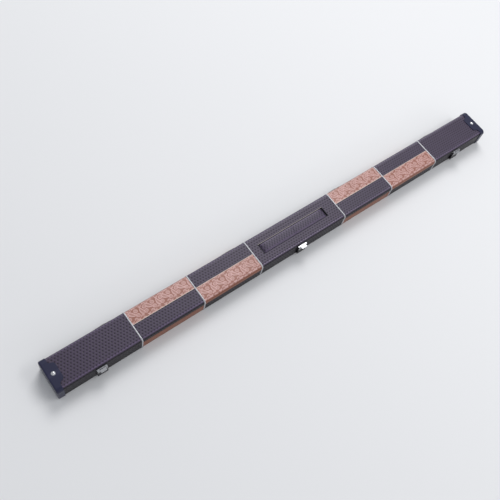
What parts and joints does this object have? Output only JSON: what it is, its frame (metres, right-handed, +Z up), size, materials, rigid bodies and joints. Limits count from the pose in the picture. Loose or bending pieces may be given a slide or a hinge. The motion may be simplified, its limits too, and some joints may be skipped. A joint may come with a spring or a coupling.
{
  "type": "snooker cue case",
  "caption": "Long slim cue case with a patchwork covering, end caps, a hinged lid, sprung latches and a strap handle let into the lid.",
  "frame": {"origin": "middle of the flat sheet that the case rests on", "axes": "+X along the case to the right end, -Y towards the latches, +Y towards the hinges, +Z up out of the shut lid"},
  "size_m": [1.254, 0.0903, 0.0481],
  "materials": {
    "dark_leatherette": "dimpled, satin",
    "tan_leatherette": "embossed leaf pattern, glossy",
    "silver_piping": "silver foil on cord",
    "cap_plastic": "smooth, satin",
    "chrome_rivet": "polished",
    "chrome_latch": "polished",
    "nickel_hinge": "nickel plated",
    "steel": "bright",
    "pan_plastic": "satin",
    "strap_leatherette": "padded, satin",
    "velvet": "velvet",
    "sheet_vinyl": "plain, matt",
    "plywood": "raw"
  },
  "bodies": {
    "base_body": {"base_cap_left": "cap_plastic", "base_cap_right": "cap_plastic", "base_cap_rivets": "steel", "base_insert": "velvet", "base_panel_1_back": "dark_leatherette", "base_panel_1_front": "tan_leatherette", "base_panel_2_back": "tan_leatherette", "base_panel_2_front": "dark_leatherette", "base_panel_3_back": "dark_leatherette", "base_panel_3_front": "tan_leatherette", "base_panel_4_back": "tan_leatherette", "base_panel_4_front": "dark_leatherette", "base_panel_centre": "dark_leatherette", "base_panel_left_end": "dark_leatherette", "base_panel_right_end": "dark_leatherette", "base_pipings": "silver_piping", "base_rivets": "chrome_rivet", "base_sheet": "sheet_vinyl", "base_shell": "plywood", "hinge_base_leaves": "nickel_hinge", "hinge_pins": "steel", "latch_pin_centre": "steel", "latch_pin_left": "steel", "latch_pin_right": "steel", "latch_plate_centre": "chrome_latch", "latch_plate_left": "chrome_latch", "latch_plate_right": "chrome_latch"},
    "lid_body": {"handle_end_left": "strap_leatherette", "handle_end_right": "strap_leatherette", "handle_pan": "pan_plastic", "hinge_lid_leaves": "nickel_hinge", "latch_keeper_centre": "chrome_latch", "latch_keeper_left": "chrome_latch", "latch_keeper_right": "chrome_latch", "lid_cap_left": "cap_plastic", "lid_cap_right": "cap_plastic", "lid_cap_rivets": "chrome_rivet", "lid_lining": "velvet", "lid_panel_1_back": "tan_leatherette", "lid_panel_1_front": "dark_leatherette", "lid_panel_2_back": "dark_leatherette", "lid_panel_2_front": "tan_leatherette", "lid_panel_3_back": "tan_leatherette", "lid_panel_3_front": "dark_leatherette", "lid_panel_4_back": "dark_leatherette", "lid_panel_4_front": "tan_leatherette", "lid_panel_centre": "dark_leatherette", "lid_panel_left_end": "dark_leatherette", "lid_panel_right_end": "dark_leatherette", "lid_pipings": "silver_piping", "lid_rivets": "chrome_rivet", "lid_shell": "plywood"},
    "handle_body": {"handle_grip": "strap_leatherette", "handle_spring_strip": "steel"},
    "latch_lever_left_body": {"latch_lever_left": "chrome_latch"},
    "latch_lever_centre_body": {"latch_lever_centre": "chrome_latch"},
    "latch_lever_right_body": {"latch_lever_right": "chrome_latch"}
  },
  "joints": [
    {"name": "lid_hinge", "type": "hinge", "parent": "base_body", "child": "lid_body", "pos_m": [0, 0.0392, 0.0294], "axis": [-1, 0, 0], "range_deg": [0, 100]},
    {"name": "latch_left", "type": "hinge", "parent": "base_body", "child": "latch_lever_left_body", "pos_m": [-0.529, -0.0409, 0.011], "axis": [1, 0, 0], "range_deg": [0, 95]},
    {"name": "latch_centre", "type": "hinge", "parent": "base_body", "child": "latch_lever_centre_body", "pos_m": [-0.006, -0.0409, 0.011], "axis": [1, 0, 0], "range_deg": [0, 95]},
    {"name": "latch_right", "type": "hinge", "parent": "base_body", "child": "latch_lever_right_body", "pos_m": [0.517, -0.0409, 0.011], "axis": [1, 0, 0], "range_deg": [0, 95]},
    {"name": "handle_lift", "type": "slide", "parent": "lid_body", "child": "handle_body", "axis": [0, 0, 1], "range_m": [0, 0.015], "stiffness_N_per_m": 600, "deforming": ["handle_end_left", "handle_end_right"]}
  ],
  "couplings": [
    {"joint": "latch_left", "follows": "lid_hinge", "ratio": 0.95},
    {"joint": "latch_centre", "follows": "lid_hinge", "ratio": 0.95},
    {"joint": "latch_right", "follows": "lid_hinge", "ratio": 0.95}
  ]
}
